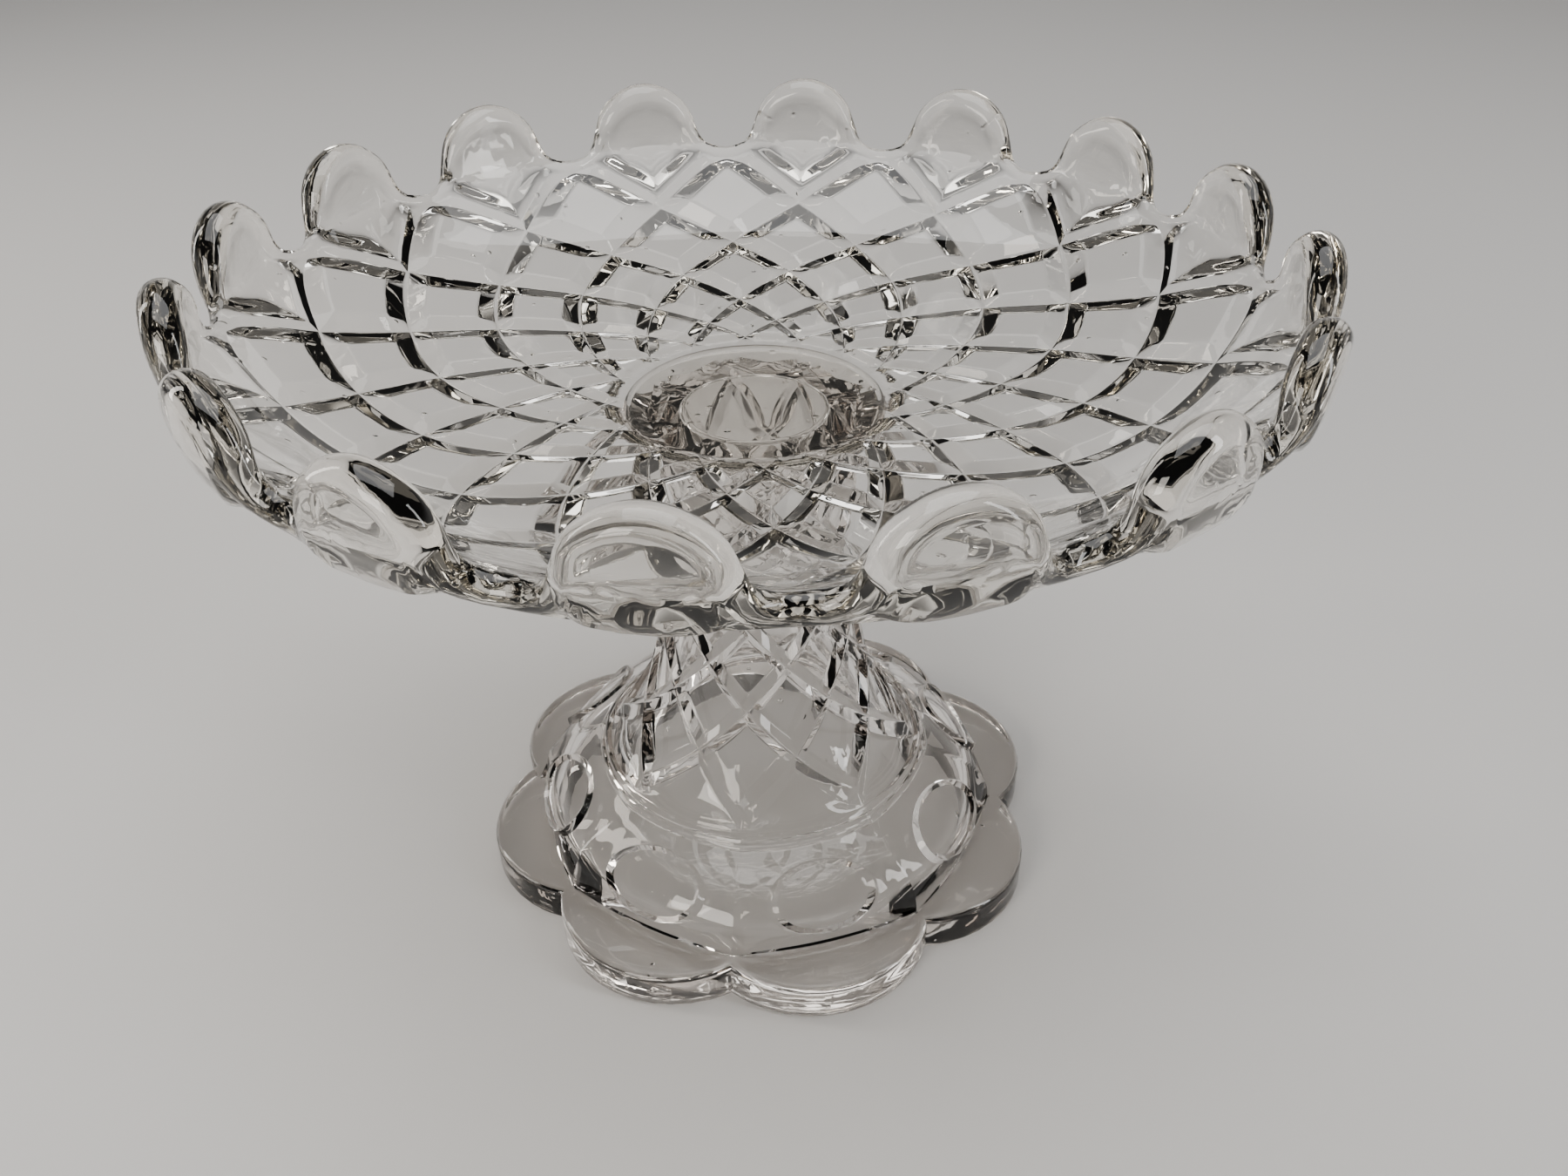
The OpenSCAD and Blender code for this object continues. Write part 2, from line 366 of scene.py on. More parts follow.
# %% [markdown]
# ## The rib lattice
#
# Two families of ribs spiral round the underside in opposite directions and cross on rings that
# come closer together inwards. Where they cross, four ribs enclose a cell. In its own two
# directions, along the one family and along the other, every cell is a plain square, so one
# function makes them all. A rib is a ridge with a rounded top and a soft foot, and its height is
# the only thing that bumps the sheet.

# %% Height of a rib and the lines of a cell
RIB_SHARE = 0.23                # half a rib's width as a share of the cell
RIB_TOP = 0.012                 # half the width of its rounded top
RIB_FOOT = 0.015                # half the width of the soft corner at its foot
PANEL_DEPTH = 2.3


def rib(u, share=RIB_SHARE, top=RIB_TOP, foot=RIB_FOOT):
    """Height of a rib, from nearly 1 on its ridge to 0 on the panel, at a share u of the cell."""
    flank = 1 - u / share
    crown = 1 - (u * u + top ** 2) / (2 * top * share)
    heel = (share + foot - u) ** 2 / (4 * foot * share)
    height = np.where(u < top, crown, np.where(u > share - foot, heel, flank))
    return np.where(u > share + foot, 0, height)


def cell_lines():
    """Where the lines of a cell's grid lie: crowded on the ridges and at their feet."""
    edge = [0, RIB_TOP, 2.5 * RIB_TOP, RIB_SHARE - 2.5 * RIB_FOOT, RIB_SHARE - RIB_FOOT,
            RIB_SHARE + RIB_FOOT, RIB_SHARE + 2.5 * RIB_FOOT]
    middle = np.linspace(RIB_SHARE + 2.5 * RIB_FOOT, 0.5, 4)[1:]
    half = np.concatenate([edge, middle])
    return np.concatenate([half, 1 - half[-2::-1]])


CELL = cell_lines()
CELL_A, CELL_B = np.meshgrid(CELL, CELL, indexing="ij")
CELL_RIB = np.maximum(rib(np.minimum(CELL_A, 1 - CELL_A)), rib(np.minimum(CELL_B, 1 - CELL_B)))
RIDGE = float(rib(np.array(0.0)))
print("a cell has", len(CELL) - 1, "by", len(CELL) - 1, "faces")

# %% Rings of crossings under the bowl
RING_R = np.array([90, 78, 65, 50, 38, 29, 21.5, 16])
RING_V = np.interp(RING_R, LINE_P[:400, 0], LINE_V[:400])


def ring_v(k):
    """Distance along the line at ring number k, which may lie between two rings."""
    k = np.asarray(k, float)
    i = np.clip(np.floor(k).astype(int), 0, len(RING_V) - 2)
    t = k - i
    wide = np.concatenate([[2 * RING_V[0] - RING_V[1]], RING_V, [2 * RING_V[-1] - RING_V[-2]]])
    p0, p1, p2, p3 = wide[i], wide[i + 1], wide[i + 2], wide[i + 3]
    return 0.5 * (2 * p1 + (p2 - p0) * t + (2 * p0 - 5 * p1 + 4 * p2 - p3) * t ** 2
                  + (3 * p1 - p0 - 3 * p2 + p3) * t ** 3)


def pad_fade(v):
    """0 on the flat pad over the disc, 1 where the ribs are at their full height."""
    return ease((v - DISC_R - 0.6) / 3.0)


def lattice_cell(top_ring, phi):
    """The cell between rings top_ring and top_ring + 2 whose middle is at angle phi."""
    k = top_ring + 2 - (CELL_A + CELL_B)
    v = ring_v(k)
    depth = PANEL_DEPTH * (1 - CELL_RIB) * pad_fade(v)
    return bowl_point(phi + (CELL_A - CELL_B) * HALF_PITCH, v, depth)


# %% [markdown]
# ## The rim
#
# Seen flat, the rim is a row of round tongues with round valleys between them, two arcs and the
# straight line that touches both. Below each valley the last ribs meet in an arch. The sheet of a
# scallop hangs between the outline and the arch. It first rolls over the edge, and then runs down
# to the arch, swelling outwards like a thumb on the way.

# %% Outline of the rim and the arch of ribs, laid out flat
TIP_RADIUS = 12.3
VALLEY_RADIUS = 7.0
SCALLOP_H = 16.3                # from the bottom of a valley to the crest
MID_DEPTH = 2.65
X_HALF = CREST_R * HALF_PITCH
V_TIP = v_at_height(CREST_Z, MID_DEPTH)
V_VALLEY = v_at_height(CREST_Z - SCALLOP_H, MID_DEPTH)
TIP_CENTRE = np.array([X_HALF, V_TIP - TIP_RADIUS])
VALLEY_CENTRE = np.array([0, V_VALLEY + VALLEY_RADIUS])
SPAN = TIP_CENTRE - VALLEY_CENTRE
# the straight side touches both arcs: its length, and the way into the glass along it
STRAIGHT = math.sqrt(SPAN @ SPAN - (TIP_RADIUS + VALLEY_RADIUS) ** 2)
SIDE = math.atan2(SPAN[1], SPAN[0]) - math.atan2(STRAIGHT, TIP_RADIUS + VALLEY_RADIUS)


def outline(q):
    """Point of the rim's outline and the way into the glass, for q from the valley to the tip."""
    sweep = math.pi / 2 + SIDE
    past_valley = q * ((VALLEY_RADIUS + TIP_RADIUS) * sweep + STRAIGHT) - VALLEY_RADIUS * sweep
    past_side = past_valley - STRAIGHT
    angle = SIDE + np.minimum(past_valley, 0) / VALLEY_RADIUS - np.maximum(past_side, 0) / TIP_RADIUS
    way = np.stack([np.cos(angle), np.sin(angle)], -1)
    up_side = np.clip(past_valley, 0, STRAIGHT)[..., None] * np.array([-math.sin(SIDE), math.cos(SIDE)])
    low = VALLEY_CENTRE + VALLEY_RADIUS * way + up_side
    return np.where(past_side[..., None] < 0, low, TIP_CENTRE - TIP_RADIUS * way), way


ARCH_GAP = 3.2                  # from the bottom of a valley down to the top of the arch
ARCH_V = V_VALLEY - ARCH_GAP
ARCH_ROUND = 0.23               # how round the arch is at its top, as a share of its half width
ARCH_FALL = (ARCH_V - RING_V[0]) / X_HALF
ARCH_SLOPE = math.sqrt(ARCH_FALL ** 2 + 2 * ARCH_FALL * ARCH_ROUND)


def arch(q):
    """Ridge line of the arch, from its top under the valley, q = 0, to the crossing, q = 1."""
    x = X_HALF * q
    drop = np.sqrt((ARCH_ROUND * X_HALF) ** 2 + (ARCH_SLOPE * x) ** 2) - ARCH_ROUND * X_HALF
    return np.stack([x, ARCH_V - drop], -1)


def flat_to_bowl(flat, depth):
    return bowl_point(flat[..., 0] / X_HALF * HALF_PITCH, flat[..., 1], depth)


def arch_cell():
    """The cell under a valley. Its four sides are blended, because two of them are the arch."""
    side = np.stack([CELL * X_HALF, ring_v(1 - CELL)], -1)
    left = side * [-1, 1]
    right_arch = arch(1 - CELL)
    left_arch = right_arch * [-1, 1]
    a, b = CELL_A[..., None], CELL_B[..., None]
    corners = ((1 - a) * (1 - b) * side[0] + a * (1 - b) * side[-1]
               + (1 - a) * b * left[-1] + a * b * right_arch[-1])
    flat = ((1 - b) * side[:, None] + b * left_arch[:, None]
            + (1 - a) * left[None] + a * right_arch[None] - corners)
    return flat_to_bowl(flat, PANEL_DEPTH * (1 - CELL_RIB))


print("straight side", round(STRAIGHT, 2), "mm, arch", round(ARCH_V - RING_V[0], 1), "mm high")

# %% The scallop's sheets, outside and inside
ROLL = 1 - np.cos(np.linspace(0, math.pi / 2, 9))    # lines across the rolled edge, as shares
SWELL = 1.2                     # how far the outside swells past the reference line
CREASE = 1.5                    # depth of the crease between a rib and the scallop
DISH = 0.5                      # how far the inside is hollowed
LOBE_Q = CELL                   # the same lines as the arch, so that the sheets weld
EVENNESS = 0.8                  # 1 spreads the lines quite evenly along the outline
LOBE_POINT, LOBE_WAY = outline(between(LOBE_Q, np.linspace(0, 1, len(LOBE_Q)), EVENNESS))
LOBE_FULL = ease((LOBE_Q - 0.08) / 0.4)              # 0 in the valley, 1 on the scallop
ROLL_WIDTH = between(2.3, 3.6, LOBE_FULL)
EDGE_DEPTH = between(2.5, MID_DEPTH, LOBE_FULL)
INSIDE_DEPTH = between(4.9, 6.3, LOBE_FULL)
ROLLED = LOBE_POINT + ROLL_WIDTH[:, None] * LOBE_WAY
LOBE_ARCH = arch(LOBE_Q)
LOBE_LENGTH = np.hypot(*(ROLLED - LOBE_ARCH).T)
CREASE_AT = np.minimum(2.6, 0.35 * LOBE_LENGTH)      # how far from the arch the crease is deepest
SWELL_WIDTH = 9.0               # how far the swelling takes to reach its full height


def lobe_depth(away):
    """Depth of the scallop's outside at a distance from the ridge of the arch."""
    down = CREASE * np.clip(away / CREASE_AT, 0, 1)
    up = (CREASE + SWELL) * ease((away - CREASE_AT) / SWELL_WIDTH)
    return PANEL_DEPTH * (1 - RIDGE) + LOBE_FULL * (down - up)


def lobe_outside():
    away = [share * CREASE_AT for share in (0, 0.12, 0.4, 0.85, 1.0, 1.15)]
    away += [between(away[-1], LOBE_LENGTH, t) for t in np.linspace(0, 1, 10)[1:]]
    rows = []
    for distance in away:
        t = (distance / LOBE_LENGTH)[:, None]
        rows.append((between(LOBE_ARCH, ROLLED, t), lobe_depth(distance)))
    last_depth = rows[-1][1]
    for share in ROLL[-2::-1]:
        round_off = math.sqrt(1 - (1 - share) ** 2)
        flat = LOBE_POINT + (share * ROLL_WIDTH)[:, None] * LOBE_WAY
        rows.append((flat, between(EDGE_DEPTH, last_depth, round_off)))
    return np.stack([flat_to_bowl(flat, depth) for flat, depth in rows])


INSIDE_LOW_V = RING_V[0] - 3.0


def bowl_inside():
    rows = []
    for share in ROLL:
        round_off = math.sqrt(1 - (1 - share) ** 2)
        flat = LOBE_POINT + (share * ROLL_WIDTH)[:, None] * LOBE_WAY
        rows.append((flat, between(EDGE_DEPTH, INSIDE_DEPTH, round_off)))
    low = np.stack([LOBE_Q * X_HALF, np.full_like(LOBE_Q, INSIDE_LOW_V)], -1)
    for t in np.linspace(0, 1, 15)[1:]:
        hollow = DISH * LOBE_FULL * ease(t * LOBE_LENGTH / 3.0)
        depth = between(INSIDE_DEPTH - hollow, BOWL_T, ease(t * 1.6))
        rows.append((between(ROLLED, low, t), depth))
    for v in np.linspace(INSIDE_LOW_V, 0, 22)[1:]:
        rows.append((np.stack([LOBE_Q * X_HALF, np.full_like(LOBE_Q, v)], -1), BOWL_T))
    return np.stack([flat_to_bowl(flat, depth) for flat, depth in rows])


# %% Put the bowl's sector together
def bowl_sector():
    sector = Sector()
    # angle 0 is the middle of a valley here; half a pitch is added so that a scallop is on +X
    sector.add(lobe_outside(), mirror=True)
    sector.add(bowl_inside(), mirror=True)
    sector.add(arch_cell())
    last = len(RING_R) - 2
    for ring in range(last):
        sector.add(lattice_cell(ring, HALF_PITCH if ring % 2 == 0 else 0.0))
    zigzag_v = ring_v(last + CELL if last % 2 else last + 1 - CELL)
    pole = np.stack([bowl_point(CELL * HALF_PITCH, zigzag_v * t, 0 * CELL) for t in (1, 0.66, 0.33, 0)])
    sector.add(pole, mirror=True)
    spin = Matrix.Rotation(HALF_PITCH, 3, "Z")
    sector.points = [list(spin @ Vector(p)) for p in sector.points]
    return sector


bowl = pressed("pressed_bowl", bowl_sector(), SCALLOPS, straw_glass)


# %% [markdown]
# ## The joining disc
#
# The bowl and the foot are pressed apart and stuck together hot, with a gather of glass between
# them that squeezes out into a thin disc. It is a turned piece, so its half section is drawn once
# and spun. The disc enters both neighbours by a hair, because the three are fused on the real
# object, and two glass faces with air between them would shine like a mirror.

# %% Spin a half section round the axis
FUSED = 0.15                    # how far the disc enters the bowl and the foot


def spun(name, section, steps, glass):
    """Spins a list of (radius, height), which starts and ends on the axis, into a closed piece."""
    angles = np.arange(steps) * 2 * math.pi / steps
    points = [(r * math.cos(a), r * math.sin(a), z) for r, z in section[1:-1] for a in angles]
    points += [(0, 0, section[0][1]), (0, 0, section[-1][1])]
    bottom = len(points) - 2
    top = len(points) - 1
    highest = bottom - steps                # where the last ring starts
    faces = []
    for j in range(steps):
        beside = (j + 1) % steps
        faces.append((bottom, beside, j))
        faces.append((top, highest + j, highest + beside))
        for ring in range(0, highest, steps):
            faces.append((ring + j, ring + beside, ring + steps + beside, ring + steps + j))
    mesh = bpy.data.meshes.new(name)
    mesh.from_pydata([[c * MM for c in p] for p in points], [], faces)
    mesh.shade_smooth()
    mesh.set_sharp_from_angle(angle=SHARP)
    mesh.materials.append(glass)
    piece = bpy.data.objects.new(name, mesh)
    bpy.context.collection.objects.link(piece)
    print(f"{name}: {len(points)} points, {len(faces)} faces")
    return piece


def arc(centre, radius, start, end, steps):
    """Points of an arc in the half section, between two angles in degrees."""
    angles = np.radians(np.linspace(start, end, steps + 1))
    return [(centre[0] + radius * math.cos(a), centre[1] + radius * math.sin(a)) for a in angles]


def disc_section():
    edge = (BOWL_Z - DISC_Z) / 2
    low = DISC_Z - FUSED
    high = BOWL_Z + FUSED
    section = [(0, low), (DISC_R - edge - 1.5, low), (DISC_R - edge, DISC_Z)]
    section += arc((DISC_R - edge, DISC_Z + edge), edge, -80, 80, 12)
    section += [(DISC_R - edge, BOWL_Z), (DISC_R - edge - 1.5, high), (0, high)]
    return section


disc = spun("joining_glass_disc", disc_section(), 96, core_glass)

# %% [markdown]
# ## The foot's section
#
# The foot swells from a narrow stem into a round shoulder, and eight petals lie round its base.
# Its outline is one curve on the shoulder and, above it, a sum of two exponentials: one fades
# upwards from the shoulder, the other fades downwards from the flare under the disc.

# %% The foot's outline
PETALS = 8
PETAL_HALF = math.pi / PETALS
STEM_R = 20.3
STEM_TOP_R = 24.5
DOME_R = 52.8
PETAL_H = 8.5
NECK_Z = 23.6
NECK_R = 37.5
FOOT_T = 5.4


def neck_radius(z, flare):
    return (STEM_R + (NECK_R - STEM_R + 0.3) * np.exp(-((z - NECK_Z + 0.6) / 18) ** 1.25)
            + flare * (STEM_TOP_R - STEM_R) * np.exp(-(DISC_Z - z) / 6))


def foot_line(flare=1.0):
    """Distance up the line, its points from the petals to the disc, and the way into the glass."""
    t = np.linspace(0, 1, 80)[:-1, None]
    neck = np.array([neck_radius(NECK_Z, flare), NECK_Z])
    start = np.array([DOME_R, PETAL_H])
    first = start + [0, 8.7]
    second = neck + [7.0, -3.4]
    shoulder = ((1 - t) ** 3 * start + 3 * t * (1 - t) ** 2 * first
                + 3 * t * t * (1 - t) * second + t ** 3 * neck)
    z = np.linspace(NECK_Z, DISC_Z, 300)
    points = np.vstack([shoulder, np.stack([neck_radius(z, flare), z], 1)])
    way = np.gradient(points, axis=0)
    way /= np.hypot(*way.T)[:, None]
    distance = np.concatenate([[0], np.cumsum(np.hypot(*np.diff(points, axis=0).T))])
    return distance, points, np.stack([-way[:, 1], way[:, 0]], 1)


FOOT_V, FOOT_P, FOOT_N = foot_line()
LATTICE_Z = 29.7                # height of the lowest crossing
LATTICE_STEP = 9.8
PANEL_FLAT = 0.55               # 0 is a round dome, 1 is one with eight flat sides
PANEL_MIDDLE = 0.955            # radius to the middle of a flat side, as a share of the round dome's
PANEL_TOP_Z = 19.0              # the panels stay this flat up to here, and are round at the lattice


def foot_v(z):
    return np.interp(z, FOOT_P[:, 1], FOOT_V)


LATTICE_V = float(foot_v(LATTICE_Z))
PANEL_TOP_V = float(foot_v(PANEL_TOP_Z))


def foot_point(phi, v, depth):
    """A point of the foot at an angle, a distance up the line and a depth into the glass."""
    phi, v, depth = np.broadcast_arrays(phi, v, depth)
    r = np.interp(v, FOOT_V, FOOT_P[:, 0])
    turn = np.abs(np.mod(phi, 2 * PETAL_HALF) - PETAL_HALF)
    flat = PANEL_FLAT * (1 - ease((v - PANEL_TOP_V) / (LATTICE_V - PANEL_TOP_V)))
    r = r * (1 - flat + flat * PANEL_MIDDLE / np.cos(turn))
    r = r + depth * np.interp(v, FOOT_V, FOOT_N[:, 0])
    z = np.interp(v, FOOT_V, FOOT_P[:, 1]) + depth * np.interp(v, FOOT_V, FOOT_N[:, 1])
    return np.stack([r * np.cos(phi), r * np.sin(phi), z], -1)


print("the foot's line is", round(FOOT_V[-1], 1), "mm long")

# %% [markdown]
# ## The foot's lattice, beads and dome
#
# Angle 0 is a crease between two petals. The stem has the same kind of cells as the bowl. Below
# its lowest zigzag run two thin beads, and below those each of the eight panels carries a raised
# oval. The sheet of a panel is laid round its oval like ripples round a stone, so that the oval's
# edge follows the lines of the grid.

# %% The stem's cells
STEM_RIB = 0.16
STEM_SOFT = 0.015
STEM_PANEL = 1.7
STEM_TOP = 0.012
STEM_EDGE = np.array([0, STEM_TOP, 0.03, STEM_RIB - 0.03, STEM_RIB - STEM_SOFT, STEM_RIB + STEM_SOFT,
                      0.2, 0.34, 0.5])
STEM_CELL = np.concatenate([STEM_EDGE, 1 - STEM_EDGE[-2::-1]])
STEM_A, STEM_B = np.meshgrid(STEM_CELL, STEM_CELL, indexing="ij")


def stem_rib(u):
    return rib(u, STEM_RIB, STEM_TOP, STEM_SOFT)


def lattice_v(k):
    return foot_v(LATTICE_Z + LATTICE_STEP * np.asarray(k, float))


def stem_cell(k, phi):
    height = stem_rib(np.minimum(np.minimum(STEM_A, 1 - STEM_A), np.minimum(STEM_B, 1 - STEM_B)))
    v = lattice_v(k + STEM_A + STEM_B)
    return foot_point(phi + (STEM_A - STEM_B) * PETAL_HALF, v, STEM_PANEL * (1 - height))


STEM_ROWS = 6
BEAD_Z = [23.6, 25.6]
BEAD_HALF = 0.85
BEAD_H = 0.85
BEAD_TOP_V = float(foot_v(BEAD_Z[1])) + BEAD_HALF
BEAD_LOW_V = float(foot_v(BEAD_Z[0])) - BEAD_HALF
BAND_DEPTH = 0.5                # the band under the zigzag lies a little deeper than the dome


def under_zigzag():
    """From the lowest zigzag of ribs down to the upper bead, between a crease and a petal."""
    shares = np.concatenate([STEM_EDGE[:6], [0.24, 0.31, 0.4, 0.5]])
    rows = []
    ridge_v = lattice_v(STEM_CELL)
    room = ridge_v - BEAD_TOP_V
    step = lattice_v(STEM_CELL) - lattice_v(STEM_CELL - 1)
    for i, share in enumerate(shares):
        down = 2 * share * step
        if i >= 6:
            foot = 2 * shares[5] * step
            down = between(foot, room, (i - 5) / (len(shares) - 6))
        down = np.minimum(down, room * (0.9 + 0.1 * i / (len(shares) - 1)))
        depth = STEM_PANEL * (1 - stem_rib(np.full_like(down, share)))
        depth = between(depth, BAND_DEPTH, ease((down / room - 0.55) / 0.45))
        rows.append(foot_point(STEM_CELL * PETAL_HALF, ridge_v - down, depth))
    return np.stack(rows)


def beads():
    rows = []
    for z in reversed(BEAD_Z):
        middle = float(foot_v(z))
        for a in np.linspace(90, -90, 9):
            swell = math.cos(math.radians(a))
            v = middle + BEAD_HALF * math.sin(math.radians(a))
            base = BAND_DEPTH if z == BEAD_Z[1] and a > 0 else BAND_DEPTH * 0.5
            base = 0.0 if z == BEAD_Z[0] and a < 0 else base
            rows.append(foot_point(STEM_CELL * PETAL_HALF, v, between(base, -BEAD_H, swell)))
    return np.stack(rows)


def above_lattice():
    """From the highest zigzag of ribs to the edge of the stem's top, and over it to the axis."""
    phi = STEM_CELL * PETAL_HALF
    low_v = lattice_v(STEM_ROWS + STEM_CELL)
    room = FOOT_V[-1] - low_v
    rows = []
    for share in STEM_EDGE[:6]:
        up = np.minimum(2 * share * LATTICE_STEP, room * share / (STEM_EDGE[5] + 0.02))
        depth = STEM_PANEL * (1 - stem_rib(np.full_like(up, share))) * ease((room - up) / 3.0)
        rows.append((low_v + up, depth))
    last_up = rows[-1][0] - low_v
    for t in (0.3, 0.65, 1.0):
        up = between(last_up, room, t)
        rows.append((low_v + up, STEM_PANEL * ease((room - up) / 3.0)))
    sheet = [foot_point(phi, v, depth) for v, depth in rows]
    for share in (0.7, 0.35, 0.0):
        sheet.append(foot_point(phi, FOOT_V[-1], 0.0) * [share, share, 1])
    return np.stack(sheet)


# %% The dome's panel with its oval
OVAL_LOW_Z = 10.6
OVAL_HIGH_Z = 21.7
OVAL_V = float(foot_v(OVAL_LOW_Z) + foot_v(OVAL_HIGH_Z)) / 2
OVAL_HALF_V = float(foot_v(OVAL_HIGH_Z) - foot_v(OVAL_LOW_Z)) / 2
OVAL_HALF_PHI = math.radians(14.6)
OVAL_RAISE = 0.35               # how far the oval pad stands out
OVAL_RIM_AT = 0.91              # where that ridge lies, as a share of the oval's size
OVAL_RIM_HALF = 0.095           # half its width, as a share of the oval's size
OVAL_RIM = 1.05                 # how far the ridge round the pad stands out further
SIDE_LINES = 12


def dome_panel():
    side_v = np.linspace(0, BEAD_LOW_V, SIDE_LINES + 1)
    border = [(phi, 0.0) for phi in PETAL_HALF * STEM_CELL[::-1]]
    border += [(0.0, v) for v in side_v[1:-1]]
    border += [(phi, BEAD_LOW_V) for phi in PETAL_HALF * STEM_CELL]
    border = np.array(border)
    centre = np.array([PETAL_HALF, OVAL_V])
    unit = np.array([OVAL_HALF_PHI, OVAL_HALF_V])
    ray = (border - centre) / unit
    # the rays are spread evenly round the oval, and lean over to their points on the border
    angle = np.abs(np.arctan2(ray[:, 0], -ray[:, 1]))
    even = np.linspace(0, math.pi, len(angle))
    angle = between(angle, even, 0.6)
    oval = -np.stack([np.sin(angle), np.cos(angle)], -1)
    inner = [0, 0.3, 0.55, 0.7]
    edge = np.array([0.78, 0.815, 0.83, 0.895, 0.91, 0.925, 0.99, 1.005, 1.02, 1.05, 1.08])
    sheet = []
    for size in [*inner, *edge]:
        place = centre + oval * unit * size
        crown = OVAL_RAISE + 0.3 * (1 - min(size / 0.8, 1) ** 2)
        pad = crown * float(ease(np.array((1.01 - size) / 0.1)))
        ridge = OVAL_RIM * max(0, 1 - abs(size - OVAL_RIM_AT) / OVAL_RIM_HALF)
        sheet.append(foot_point(place[:, 0], place[:, 1], -(pad + ridge)))
    for t in np.linspace(0, 1, 8)[1:]:
        place = between(centre + oval * unit * edge[-1], border, t)
        sheet.append(foot_point(place[:, 0], place[:, 1], 0.0))
    return np.stack(sheet)


# %% [markdown]
# ## Petals and hollow
#
# The petals are short round slabs with a rolled upper edge. Neighbouring petals meet in a notch, so
# each line across the roll starts where its own circle crosses the crease. A shallow groove runs
# round the foot of the dome. Underneath, the foot stands on a flat ring round a smooth hollow,
# which the plunger of the press left behind.

# %% Petals, base and hollow
PETAL_CENTRE = 38.3
PETAL_R = 26.2
PETAL_ROLL = 1.7
BASE_ROLL = 0.6
HOLLOW_R = 47.4
HOLLOW_CEILING = 101.9
CEILING_ROUND = 1.2
# the groove round the foot of the dome: share of the way over a petal, and depth
GROOVE = ((0, 0), (0.04, 0.45), (0.1, 0.6), (0.2, 0.35), (0.35, 0), (0.6, 0), (0.85, 0))


def petal_row(inset, z):
    """A line of points round half a petal, from the notch to the tip, a distance in from its edge."""
    radius = PETAL_R - inset
    start = -math.asin(PETAL_CENTRE * math.sin(PETAL_HALF) / radius) - PETAL_HALF
    angle = PETAL_HALF + start * (1 - STEM_CELL)
    x = PETAL_CENTRE * math.cos(PETAL_HALF) + radius * np.cos(angle)
    y = PETAL_CENTRE * math.sin(PETAL_HALF) + radius * np.sin(angle)
    return np.stack([x, y, np.full_like(x, z)], -1)


def turned_rows(section):
    """Lines round half a sector at each (radius, height) of a section."""
    phi = STEM_CELL * PETAL_HALF
    return [np.stack([r * np.cos(phi), r * np.sin(phi), np.full_like(phi, z)], -1) for r, z in section]


def hollow_section():
    section = [(HOLLOW_R + 0.5, 0.0), (HOLLOW_R + 0.15, 0.15), (HOLLOW_R, 0.5), (HOLLOW_R, 4.5)]
    _, outside, through = foot_line(flare=0.0)
    wall = (outside + FOOT_T * through)[::8]
    section += [(float(r), float(z)) for r, z in wall if z < HOLLOW_CEILING - CEILING_ROUND]
    last = section[-1][0]
    section += arc((last - CEILING_ROUND, HOLLOW_CEILING - CEILING_ROUND), CEILING_ROUND, 15, 90, 5)
    section += [(last * 0.55, HOLLOW_CEILING), (last * 0.25, HOLLOW_CEILING), (0.0, HOLLOW_CEILING)]
    return section


def skirt():
    """From the foot of the dome over a petal, down its side, across the base and up the hollow."""
    dome = foot_point(STEM_CELL * PETAL_HALF, 0.0, 0.0)
    top = petal_row(PETAL_ROLL, PETAL_H)
    rows = [between(dome, top, t) - np.array([0, 0, drop]) for t, drop in GROOVE]
    for a in np.radians(np.linspace(0, 90, 8)):
        rows.append(petal_row(PETAL_ROLL * (1 - math.sin(a)), PETAL_H - PETAL_ROLL * (1 - math.cos(a))))
    for z in (5.0, 3.2, 1.8):
        rows.append(petal_row(0.0, z))
    for a in np.radians(np.linspace(0, 90, 5)):
        rows.append(petal_row(BASE_ROLL * (1 - math.cos(a)), BASE_ROLL * (1 - math.sin(a))))
    hollow = turned_rows(hollow_section())
    outer = rows[-1]
    rows += [between(outer, hollow[0], t) for t in (0.25, 0.5, 0.75)]
    return np.stack(rows + hollow)


def foot_sector():
    sector = Sector()
    for sheet in (skirt(), dome_panel(), beads(), under_zigzag(), above_lattice()):
        sector.add(sheet, mirror=True)
    for k in range(STEM_ROWS):
        sector.add(stem_cell(k, 0.0 if k % 2 == 0 else PETAL_HALF))
    return sector


# the creases between the dome's panels turn less than the ribs do, and have to stay crisp too
foot = pressed("pressed_foot", foot_sector(), PETALS, rose_glass, sharp=math.radians(17))

# %% [markdown]
# ## Hand the pieces over
#
# Each piece stands for the solid of the same name in the CAD model and rides on the one body.

# %% Pieces and bodies
for piece, node, finish in ((bowl, "bowl", "bowl_glass"), (disc, "joining_disc", "disc_glass"),
                            (foot, "foot", "foot_glass")):
    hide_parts(node)
    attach(piece, "root")
print("three pieces in place")

# %% [markdown]
# ## Floor, lights and camera
#
# Glass has no look of its own. It shows what is around it, so the studio is part of the material:
# a pale floor to see through the panels, a broad light overhead, and two narrow strips, whose
# mirror images are thin enough to leave the ribs in sight. The room is pale low down and dark
# above: a rib shows one or the other, and so it stands out from its panel.

# %% Floor
def studio_floor():
    work = bmesh.new()
    bmesh.ops.create_grid(work, x_segments=1, y_segments=1, size=9.0)
    mesh = bpy.data.meshes.new("studio_floor")
    work.to_mesh(mesh)
    work.free()
    floor = bpy.data.objects.new("studio_floor", mesh)
    floor.location.z = -0.0003      # a hair below the foot, so that no two faces coincide
    bpy.context.collection.objects.link(floor)
    paper = bpy.data.materials.new("pale_paper")
    paper.use_nodes = True
    paper.node_tree.nodes["Principled BSDF"].inputs["Base Color"].default_value = (0.64, 0.63, 0.62, 1)
    paper.node_tree.nodes["Principled BSDF"].inputs["Roughness"].default_value = 0.8
    mesh.materials.append(paper)
    return floor


studio_floor()
print("a pale floor under the foot")


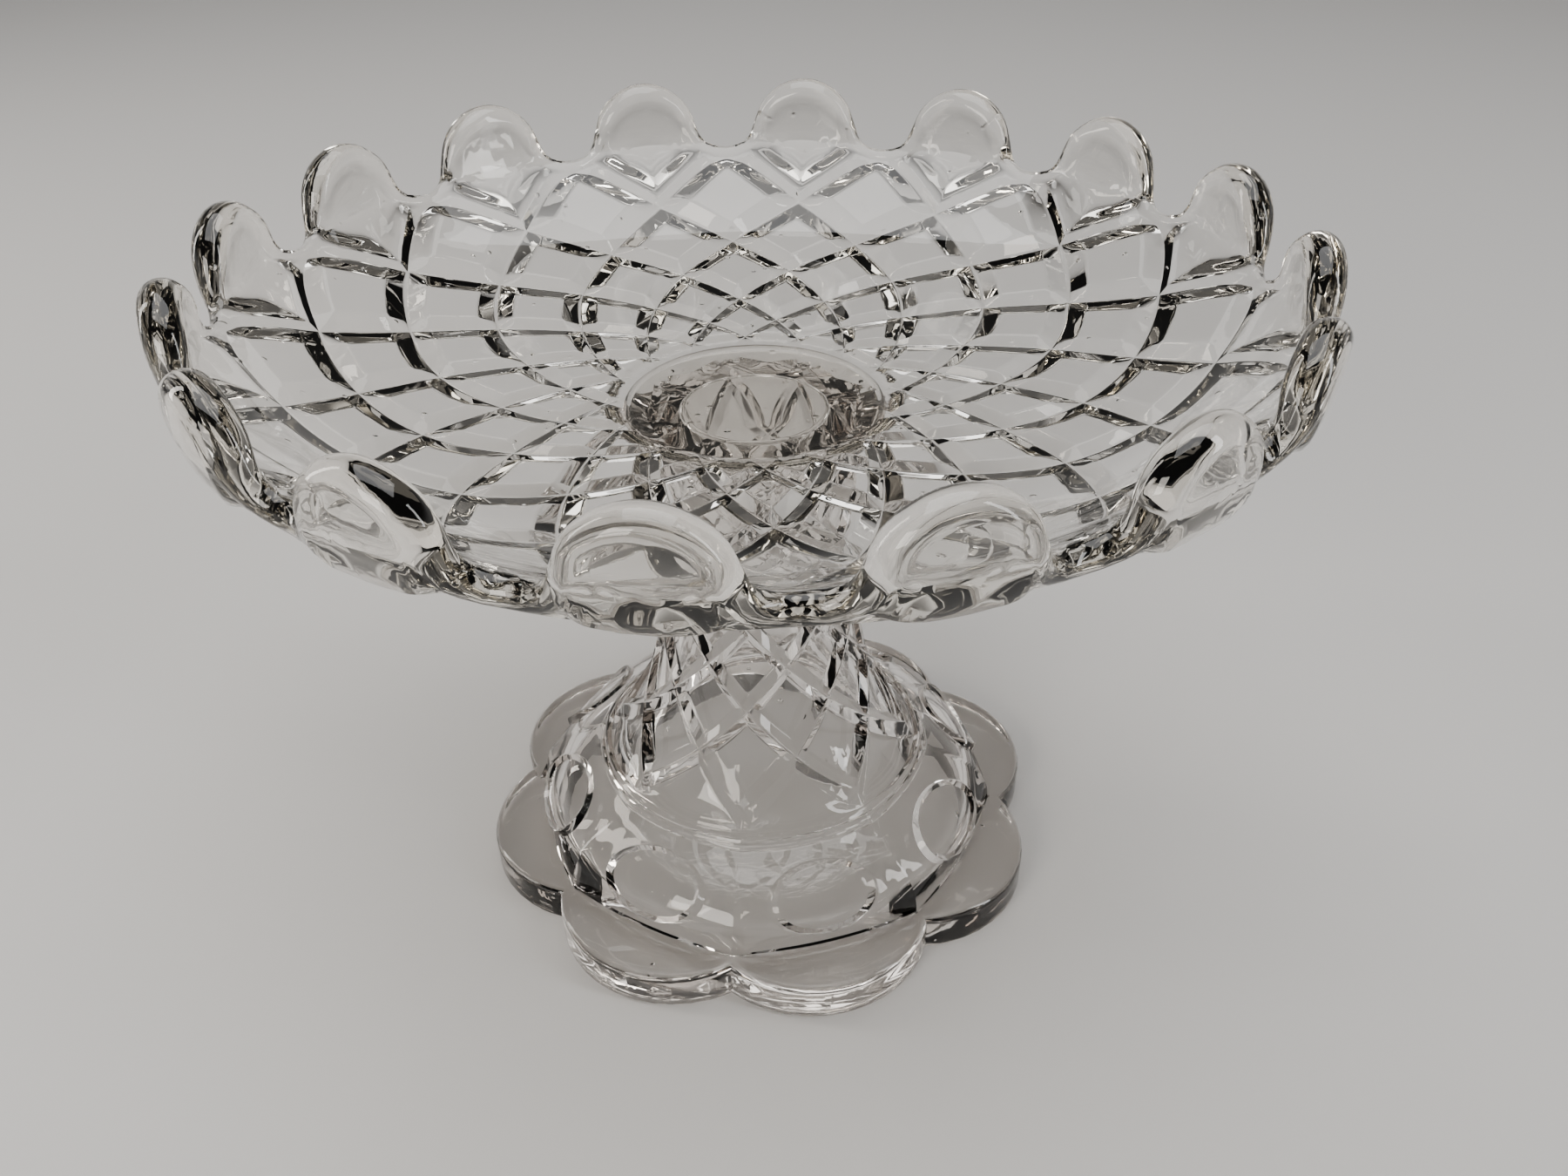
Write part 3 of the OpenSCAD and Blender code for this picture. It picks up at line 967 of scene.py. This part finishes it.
# %% Lights
def soft_light(name, place, aim, width, height, power, warmth=(1, 1, 1)):
    data = bpy.data.lights.new(name, "AREA")
    data.shape = "RECTANGLE"
    data.size = width
    data.size_y = height
    data.energy = power
    data.color = warmth
    light = bpy.data.objects.new(name, data)
    bpy.context.collection.objects.link(light)
    place = Vector(place)
    turn = (Vector(aim) - place).to_track_quat("-Z", "Y").to_matrix().to_4x4()
    light.matrix_world = Matrix.Translation(place) @ turn


MIDDLE = (0, 0, 0.07)
WARM = (1.0, 0.94, 0.86)
soft_light("overhead", (0.0, 0.1, 1.5), MIDDLE, 1.3, 1.3, 17.0)
soft_light("left_strip", (-0.95, 0.1, 0.5), MIDDLE, 0.14, 0.9, 4.0, WARM)
soft_light("right_strip", (0.95, -0.25, 0.55), MIDDLE, 0.14, 0.9, 4.0)
soft_light("front", (-0.45, -0.9, 0.5), (0, 0, 0.02), 0.45, 0.45, 6.0, WARM)


# %% The room: pale walls near the floor, a dark ceiling
def studio_room():
    world = bpy.data.worlds.new("studio_room")
    world.use_nodes = True
    nodes = world.node_tree.nodes
    link = world.node_tree.links.new
    way = nodes.new("ShaderNodeTexCoord")
    parts = nodes.new("ShaderNodeSeparateXYZ")
    ramp = nodes.new("ShaderNodeMapRange")
    ramp.interpolation_type = "SMOOTHSTEP"
    ramp.inputs["From Min"].default_value = 0.12
    ramp.inputs["From Max"].default_value = 0.42
    ramp.inputs["To Min"].default_value = 0.75
    ramp.inputs["To Max"].default_value = 0.1
    link(way.outputs["Generated"], parts.inputs["Vector"])
    link(parts.outputs["Z"], ramp.inputs["Value"])
    nodes["Background"].inputs["Color"].default_value = (1.0, 0.97, 0.93, 1)
    link(ramp.outputs["Result"], nodes["Background"].inputs["Strength"])
    return world


bpy.context.scene.world = studio_room()
print("four soft lights in a room with a dark ceiling")


# %% Camera
def place_camera(place, yaw, pitch, roll, lens):
    """A camera that looks along +Y, turned right by yaw, down by pitch and rolled, in radians."""
    data = bpy.data.cameras.new("camera")
    data.lens = lens
    data.clip_start = 0.01
    camera = bpy.data.objects.new("camera", data)
    bpy.context.collection.objects.link(camera)
    ahead = Vector((math.sin(yaw) * math.cos(pitch), math.cos(yaw) * math.cos(pitch), -math.sin(pitch)))
    right = Vector((math.cos(yaw), -math.sin(yaw), 0))
    up = right.cross(ahead)
    turned = math.cos(roll) * right + math.sin(roll) * up
    raised = math.cos(roll) * up - math.sin(roll) * right
    matrix = Matrix((turned, raised, -ahead)).transposed().to_4x4()
    matrix.translation = Vector(place)
    camera.matrix_world = matrix
    bpy.context.scene.camera = camera


place_camera((0.0337, -0.2384, 0.2300), -0.1178, 0.6011, -0.0127, 30.6)
print("the camera stands", round(bpy.context.scene.camera.location.z, 2), "m above the floor")
